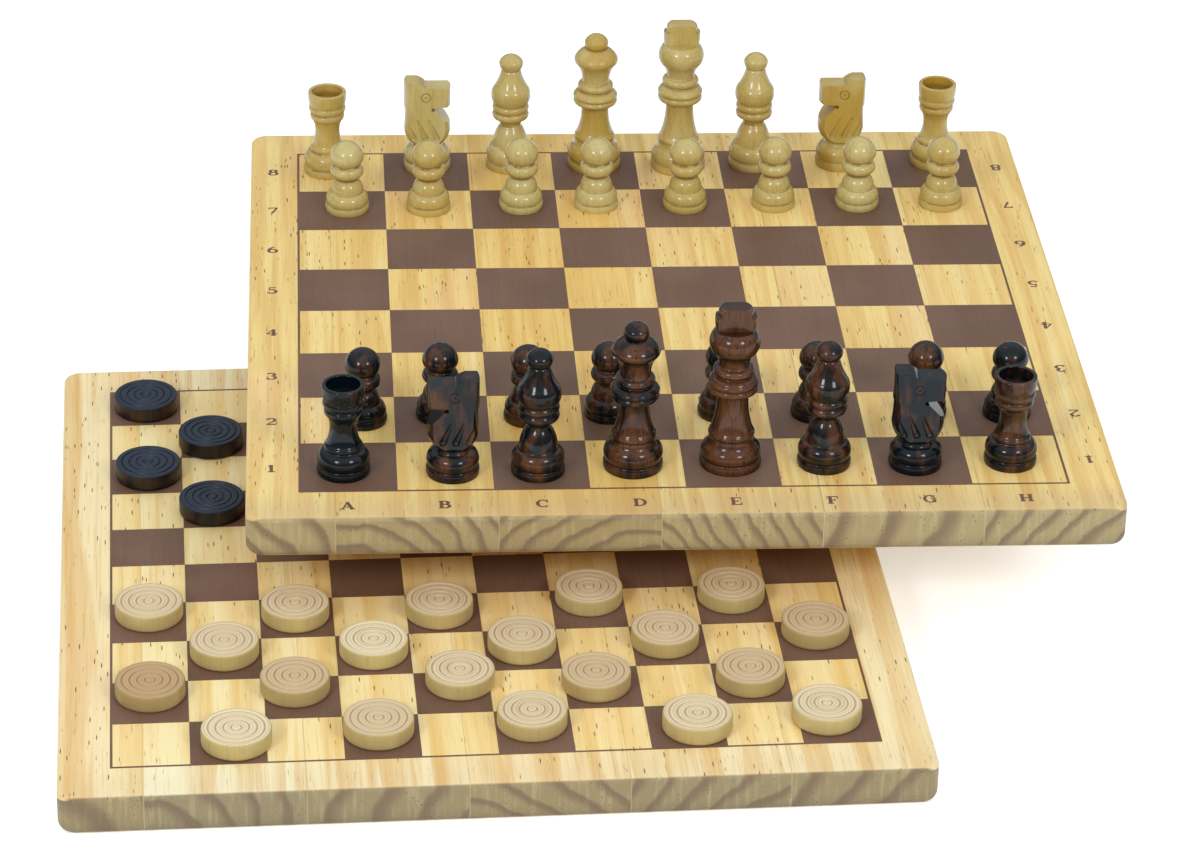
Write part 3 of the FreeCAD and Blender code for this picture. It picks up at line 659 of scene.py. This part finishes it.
LETTER_HEIGHT = 5.6
LETTER_WIDTH = 5.6
LETTER_AWAY = 10.4
INK_LIFT = 0.02
STROKE_LIFT = 0.004
STEM = 0.25
HAIRLINE = 0.13


def line(start, end, width=STEM):
    return [Vector(start), Vector(end)], [width, width]


def slab(x, y, reach=0.18):
    """A slab serif across a stem's end."""
    level = y + HAIRLINE / 2 if y < 0.5 else y - HAIRLINE / 2
    return line((x - reach, level), (x + reach, level), HAIRLINE)


def stem(x, low=0.0, high=1.0):
    return line((x, low), (x, high))


def bar(left, right, y):
    return line((left, y), (right, y), HAIRLINE)


def bow(x, y, across, up, start, end, thick=STEM):
    """A bowl: part of an ellipse, thick at its sides and thin above and below."""
    steps = max(6, int(abs(end - start) / 15))
    angles = [math.radians(start + (end - start) * step / steps) for step in range(steps + 1)]
    points = [Vector((x + across * math.cos(angle), y + up * math.sin(angle))) for angle in angles]
    return points, [HAIRLINE + (thick - HAIRLINE) * math.cos(angle) ** 2 for angle in angles]


# each sign as strokes, in shares of a letter's width and height
GLYPHS = {
    "A": [line((0.14, 0), (0.5, 1), 0.11), line((0.46, 1), (0.84, 0)), bar(0.26, 0.68, 0.33),
          slab(0.14, 0), slab(0.84, 0)],
    "B": [stem(0.24), bar(0.06, 0.42, 0.95), bar(0.06, 0.42, 0.05), bar(0.24, 0.44, 0.53),
          bow(0.42, 0.74, 0.28, 0.21, -90, 90), bow(0.42, 0.29, 0.36, 0.24, -90, 90)],
    "C": [bow(0.52, 0.5, 0.38, 0.45, 42, 318, 0.24), line((0.8, 0.6), (0.8, 0.98), 0.09)],
    "D": [stem(0.24), bar(0.06, 0.42, 0.95), bar(0.06, 0.42, 0.05), bow(0.4, 0.5, 0.44, 0.45, -90, 90, 0.24)],
    "E": [stem(0.24), bar(0.06, 0.76, 0.95), bar(0.06, 0.8, 0.05), bar(0.24, 0.56, 0.5),
          line((0.74, 0.7), (0.74, 1), 0.09), line((0.79, 0), (0.79, 0.32), 0.09),
          line((0.56, 0.36), (0.56, 0.64), 0.08)],
    "F": [stem(0.26), bar(0.08, 0.78, 0.95), bar(0.26, 0.58, 0.5), line((0.76, 0.68), (0.76, 1), 0.09),
          line((0.58, 0.36), (0.58, 0.64), 0.08), slab(0.26, 0, 0.2)],
    "G": [bow(0.5, 0.5, 0.38, 0.45, 45, 300, 0.24), stem(0.76, 0.04, 0.44), slab(0.76, 0.49, 0.17),
          line((0.78, 0.62), (0.78, 0.98), 0.09)],
    "H": [stem(0.22), stem(0.78), bar(0.2, 0.8, 0.5), slab(0.22, 0), slab(0.22, 1), slab(0.78, 0),
          slab(0.78, 1)],
    "1": [stem(0.5), slab(0.5, 0, 0.24), line((0.28, 0.8), (0.5, 0.95), 0.11)],
    "2": [bow(0.47, 0.7, 0.26, 0.25, 170, -40), line((0.66, 0.54), (0.2, 0.1), 0.13),
          bar(0.16, 0.8, 0.07), line((0.78, 0), (0.78, 0.24), 0.09)],
    "3": [bow(0.45, 0.74, 0.24, 0.21, 160, -90), bow(0.45, 0.29, 0.31, 0.24, 90, -160)],
    "4": [stem(0.6), line((0.6, 0.98), (0.12, 0.3), 0.11), bar(0.08, 0.86, 0.3), slab(0.6, 0)],
    "5": [line((0.28, 0.93), (0.76, 0.93), 0.14), line((0.3, 0.95), (0.26, 0.54), 0.1),
          bow(0.45, 0.33, 0.31, 0.28, 130, -155)],
    "6": [bow(0.5, 0.3, 0.3, 0.26, 0, 360), bow(0.78, 0.34, 0.58, 0.6, 178, 105)],
    "7": [line((0.16, 0.92), (0.84, 0.92), 0.15), line((0.8, 0.92), (0.42, 0), 0.17),
          line((0.19, 0.7), (0.19, 1), 0.09)],
    "8": [bow(0.5, 0.75, 0.24, 0.2, 0, 360), bow(0.5, 0.29, 0.3, 0.24, 0, 360)],
}

letter_points = []
letter_faces = []
square = chess.field_half / 4


def letter(glyph, across, along, upside_down):
    """A letter of strokes laid flat on the board, its middle at a place, each stroke a hair over the last."""
    for layer, (points, widths) in enumerate(GLYPHS[glyph]):
        level = chess.thickness + INK_LIFT + layer * STROKE_LIFT
        first = len(letter_points)
        for index, (point, width) in enumerate(zip(points, widths)):
            ahead = (points[min(index + 1, len(points) - 1)] - points[max(index - 1, 0)]).normalized()
            side = Vector((-ahead.y, ahead.x)) * width / 2
            for edge in (point + side, point - side):
                x, y = (edge.x - 0.5) * LETTER_WIDTH, (edge.y - 0.5) * LETTER_HEIGHT
                if upside_down:
                    x, y = -x, -y
                letter_points.append(chess.world(across + x, along + y, level))
        for index in range(len(points) - 1):
            corner = first + index * 2
            letter_faces.append((corner, corner + 1, corner + 3, corner + 2))


for index in range(8):
    middle = (index - 3.5) * square
    away = chess.field_half + LETTER_AWAY
    letter("ABCDEFGH"[index], middle, -away, False)
    letter("ABCDEFGH"[index], middle, away, True)
    letter("12345678"[index], -away, middle, False)
    letter("12345678"[index], away, middle, True)
letters_mesh = bpy.data.meshes.new("coordinates")
letters_mesh.from_pydata(letter_points, [], letter_faces)
letters_mesh.update()
letters_mesh.materials.append(chess_ink.material)
coordinates = bpy.data.objects.new("coordinates", letters_mesh)
scene.collection.objects.link(coordinates)
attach(coordinates, "chess_board")


# The chessmen: turned from small rods of hardwood on a copy lathe. The king's finial is sawn flat, and the
# knight's head is sawn to its outline, slabbed and carved. One side is dipped in clear lacquer and the other
# in black-brown lacquer.
CHESS_KINDS = ("pawn", "rook", "knight", "bishop", "queen", "king")
PIECE_TONES = {
    "dark_king_e1": 1.0, "dark_queen_d1": 0.55, "dark_rook_a1": 0.1, "dark_rook_h1": 0.45,
    "dark_knight_b1": 0.42, "dark_knight_g1": 0.15, "dark_bishop_c1": 0.33, "dark_bishop_f1": 0.5,
    "light_king_e8": 0.5, "light_queen_d8": 0.8, "light_rook_a8": 0.65, "light_rook_h8": 0.7,
    "light_knight_b8": 0.3, "light_knight_g8": 0.85, "light_bishop_c8": 0.5,
}
USUAL_TONES = 0.25, 0.6
TONE_SEED = 12
TURNED_BEND, CARVED_BEND = 900.0, 4000.0
TURNED_ROUNDS, CARVED_ROUNDS = 6, 3
SMALL_FACE = 1.5 * MM
CUP_DEPTH = 7 * MM
CUP_RIM = 1 * MM


def relief(piece, full_bend, rounds):
    """How sharply the surface bends, from 0 in a groove to 1 on an edge, as an attribute. A half is flat.

    The bend is one over a radius in metres, evened out over the neighbours in so many rounds.
    """
    mesh = piece.data
    count = len(mesh.vertices)
    points = np.empty(count * 3, np.float32)
    mesh.vertices.foreach_get("co", points)
    points = points.reshape(-1, 3)
    normals = np.empty(count * 3, np.float32)
    mesh.vertex_normals.foreach_get("vector", normals)
    normals = normals.reshape(-1, 3)
    edges = np.empty(len(mesh.edges) * 2, np.int32)
    mesh.edges.foreach_get("vertices", edges)
    a, b = edges.reshape(-1, 2).T
    way = points[b] - points[a]
    length = np.linalg.norm(way, axis=1) + SAME_PLACE
    lean = np.zeros(count)
    weight = np.zeros(count)
    for end, sign in ((a, -1), (b, 1)):
        np.add.at(lean, end, sign * (way * normals[end]).sum(1) / length)
        np.add.at(weight, end, length / 2)
    value = lean / weight
    for _ in range(rounds):
        total = value.copy()
        share = np.ones(count)
        np.add.at(total, a, value[b])
        np.add.at(total, b, value[a])
        np.add.at(share, a, 1)
        np.add.at(share, b, 1)
        value = total / share
    corners = np.empty(len(mesh.loops), np.int32)
    mesh.loops.foreach_get("vertex_index", corners)
    corners = corners.reshape(-1, 3)
    sides = [points[corners[:, end]] - points[corners[:, end - 1]] for end in range(3)]
    longest = np.linalg.norm(sides, axis=2).max(0)
    bend = np.where((longest < SMALL_FACE)[:, None], 0.5 + value[corners] / full_bend, 0.5)
    attribute = mesh.attributes.new("relief", "FLOAT", "CORNER")
    attribute.data.foreach_set("value", np.clip(bend, 0, 1).astype(np.float32).ravel())


def set_tone(piece, tone):
    """Gives a piece one tone all over, as an attribute."""
    attribute = piece.data.attributes.new("tone", "FLOAT", "POINT")
    attribute.data.foreach_set("value", np.full(len(piece.data.vertices), tone, np.float32))


def tint_cup_against_shade(rook):
    """Sets the deepest, most orange tone inside a rook's cup: painted light, set against the shade in the
    cup.
    """
    mesh = rook.data
    points = np.array([vertex.co for vertex in mesh.vertices])
    normals = np.array([vertex.normal for vertex in mesh.vertices])
    out = points[:, :2] - (points.min(0) + points.max(0))[:2] / 2
    under_rim = points[:, 2].max() - points[:, 2]
    wall = (out * normals[:, :2]).sum(1) < -0.3 * np.linalg.norm(out, axis=1)
    bottom = (normals[:, 2] > 0.8) & (under_rim > CUP_RIM)
    cup = (wall | bottom) & (under_rim < CUP_DEPTH)
    tones = np.where(cup, 1.0, mesh.attributes["tone"].data[0].value)
    mesh.attributes["tone"].data.foreach_set("value", tones.astype(np.float32))


def clear_lacquer():
    """Pale yellow hardwood under glossy clear lacquer, with fine upright grain, and painted shade that
    darkens it towards its outline and to honey-brown in its grooves and hollows.
    """
    wood = Finish("clear_lacquered_wood", IOR=1.5, Coat_IOR=1.5)
    tone = wood.attribute("tone")
    stands_out = wood.attribute("relief")
    place = wood.place()
    grain = wood.noise(wood.drawn(place, 0.8, 0.8, 0.06), 4, 0.6)
    fine = wood.noise(wood.drawn(place, 3.5, 3.5, 0.3), 3, 0.6)
    cloud = wood.noise(wood.drawn(place, 0.09, 0.09, 0.05), 2)
    aslant = wood.node("LayerWeight", {}, {"Blend": 0.5}, "Facing")
    tint = wood.mix(tone, colour(205, 190, 126), colour(188, 148, 46))
    tint = wood.mix(wood.band(grain, 0.42, 0.72) * 0.5, tint, colour(172, 140, 66))
    tint = wood.mix(wood.band(fine, 0.5, 0.75) * 0.3, tint, colour(150, 116, 46))
    tint = wood.mix(wood.band(cloud, 0.45, 0.7) * 0.35, tint, colour(216, 202, 144))
    # painted shade: darker towards the outline, where the surface turns away from the viewer
    tint = wood.mix(wood.band(aslant, 0.4, 0.9) * 0.5, tint, colour(148, 112, 44))
    # painted shade: grooves and other hollows darkened to honey-brown
    tint = wood.mix(wood.band(stands_out, 0.46, 0.2) * 0.7, tint, colour(120, 78, 24))
    wood.feed_shader(Base_Color=tint, Roughness=0.34 + grain * 0.12, Specular_IOR_Level=0.3)
    wood.feed_shader(Coat_Weight=0.6, Coat_Roughness=0.12)
    wood.feed_shader(Normal=wood.bump(grain * 0.6 + fine * 0.4, 0.05))
    return wood


def dark_lacquer():
    """Wood under thick black-brown lacquer, brown where it is thinly laid on or worn. The brown is painted to
    fade to black towards the outline as painted shade, and a low tone paints the black bluish as a sky
    reflection.
    """
    lacquer = Finish("dark_lacquered_wood", IOR=1.5, Coat_IOR=1.45)
    tone = lacquer.attribute("tone")
    stands_out = lacquer.attribute("relief")
    aslant = lacquer.node("LayerWeight", {}, {"Blend": 0.5}, "Facing")
    place = lacquer.place()
    patch = lacquer.noise(lacquer.drawn(place, 0.16, 0.16, 0.06), 3, 0.55)
    grain = lacquer.noise(lacquer.drawn(place, 1.2, 1.2, 0.08), 4, 0.6)
    # painted shade: the brown of thinly laid lacquer shows where the surface faces the viewer and fades to
    # black towards the outline
    thin_and_facing = lacquer.band(patch + tone * 0.4 - 0.2, 0.38, 0.66) * lacquer.band(aslant, 0.75, 0.2)
    worn = lacquer.band(stands_out, 0.7, 0.85) * lacquer.band(patch, 0.4, 0.6) * tone
    # painted reflection: a low tone makes the black bluish, as if it mirrored the sky
    black = lacquer.mix(tone, colour(4, 14, 20), colour(15, 10, 10))
    tint = lacquer.mix(thin_and_facing, black, colour(92, 54, 29))
    tint = lacquer.mix(lacquer.band(grain, 0.46, 0.7) * thin_and_facing * 0.8, tint, colour(28, 15, 11))
    tint = lacquer.mix(worn * 0.7, tint, colour(116, 72, 42))
    lacquer.feed_shader(Base_Color=tint, Roughness=0.4, Specular_IOR_Level=0.06)
    lacquer.feed_shader(Coat_Weight=0.6, Coat_Roughness=0.09)
    lacquer.feed_shader(Normal=lacquer.bump(grain * thin_and_facing, 0.03))
    return lacquer


finishes = {"light": (clear_lacquer(), "clear_lacquer"), "dark": (dark_lacquer(), "dark_lacquer")}
draw = random.Random(TONE_SEED)
for node in sorted(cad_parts):
    side, kind = node.split("_")[:2]
    if kind not in CHESS_KINDS:
        continue
    finish, slot = finishes[side]
    chessman = skin("lacquered_" + node, *merged(node), finish)
    if kind == "knight":
        relief(chessman, CARVED_BEND, CARVED_ROUNDS)
    else:
        relief(chessman, TURNED_BEND, TURNED_ROUNDS)
    usual = draw.uniform(*USUAL_TONES)
    set_tone(chessman, PIECE_TONES.get(node, usual))
    # painted light: the inside of each light rook's cup gets the deepest, most orange tone
    if node.startswith("light_rook"):
        tint_cup_against_shade(chessman)
    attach(chessman, node)
    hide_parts(node)


# The studio: a white table top that runs on behind, a pale sky that darkens to its edge and two soft lamps in
# front. The camera, and what mirrors the table, see its white without shade but for the object's own shadow.
# Its sizes and places are in metres.
TABLE_HALF = 60.0
TABLE_DROP = 0.0002
table_look = {"Base Color": (0.93, 0.94, 0.95, 1), "Roughness": 0.9, "Specular IOR Level": 0.1}
glow = {"Emission Color": (1, 1, 1, 1), "Emission Strength": 0.42}
table_finish = Finish("white_table", **table_look)
bright = table_finish.node("BsdfPrincipled", {}, {**table_look, **glow})
ray = table_finish.node("LightPath", {}, {}, "Is Camera Ray")
seen = ray + ray.also("Is Glossy Ray") + ray.also("Is Transmission Ray")
dull = Wire(table_finish, table_finish.shader.outputs[0])
surface = table_finish.node("MixShader", {}, {0: seen, 1: dull, 2: bright})
table_finish.feed(table_finish.tree.nodes["Material Output"].inputs["Surface"], surface)

table_corners = [(x * TABLE_HALF, y * TABLE_HALF, 0) for x, y in ((-1, -1), (1, -1), (1, 1), (-1, 1))]
table_mesh = bpy.data.meshes.new("table_top")
table_mesh.from_pydata(table_corners, [], [(0, 1, 2, 3)])
table_mesh.materials.append(table_finish.material)
table_top = bpy.data.objects.new("table_top", table_mesh)
table_top.location.z = -TABLE_DROP
scene.collection.objects.link(table_top)

SKY_COLOUR = (0.86, 0.94, 1, 1)
SKY_STRENGTH = {"From Min": 0.05, "From Max": 0.8, "To Min": 0.21, "To Max": 1.02}
world = bpy.data.worlds.new("pale_sky")
world.use_nodes = True
sky = world.node_tree
direction = sky.nodes.new("ShaderNodeTexCoord").outputs["Generated"]
height = sky.nodes.new("ShaderNodeSeparateXYZ")
sky.links.new(direction, height.inputs[0])
strength = sky.nodes.new("ShaderNodeMapRange")
strength.interpolation_type = "SMOOTHSTEP"
for socket, value in SKY_STRENGTH.items():
    strength.inputs[socket].default_value = value
sky.links.new(height.outputs["Z"], strength.inputs["Value"])
sky.nodes["Background"].inputs["Color"].default_value = SKY_COLOUR
sky.links.new(strength.outputs[0], sky.nodes["Background"].inputs["Strength"])
scene.world = world

LAMP_AIM = Vector((0.05, 0.05, 0.05))
LAMP_WIDTH = 0.38
LAMP_COLOUR = (0.94, 0.97, 1)
LAMPS = (("left_lamp", (-0.9, -1.2, 1.0), 9.5), ("right_lamp", (0.8, -1.2, 1.0), 7))
for name, place, power in LAMPS:
    lamp = bpy.data.lights.new(name, "AREA")
    lamp.energy = power
    lamp.size = LAMP_WIDTH
    lamp.color = LAMP_COLOUR
    stand = bpy.data.objects.new(name, lamp)
    stand.location = place
    stand.rotation_euler = (LAMP_AIM - Vector(place)).to_track_quat("-Z", "Y").to_euler()
    scene.collection.objects.link(stand)

# the lens and the sensor are in millimetres and the turns in degrees
LENS = 131.63
SENSOR = 36
CAMERA_PLACE = (-0.1122, -1.4706, 0.9008)
HEADING, LOOK_DOWN, ROLL = -6.261, 29.209, 1.471
camera = bpy.data.cameras.new("camera")
camera.sensor_width = SENSOR
camera.sensor_fit = "HORIZONTAL"
camera.lens = LENS
tripod = bpy.data.objects.new("camera", camera)
stance = Matrix.Translation(CAMERA_PLACE)
for angle, axis in ((HEADING, "Z"), (90 - LOOK_DOWN, "X"), (ROLL, "Z")):
    stance = stance @ Matrix.Rotation(math.radians(angle), 4, axis)
tripod.matrix_world = stance
scene.collection.objects.link(tripod)
scene.camera = tripod
scene.view_settings.view_transform = "Standard"
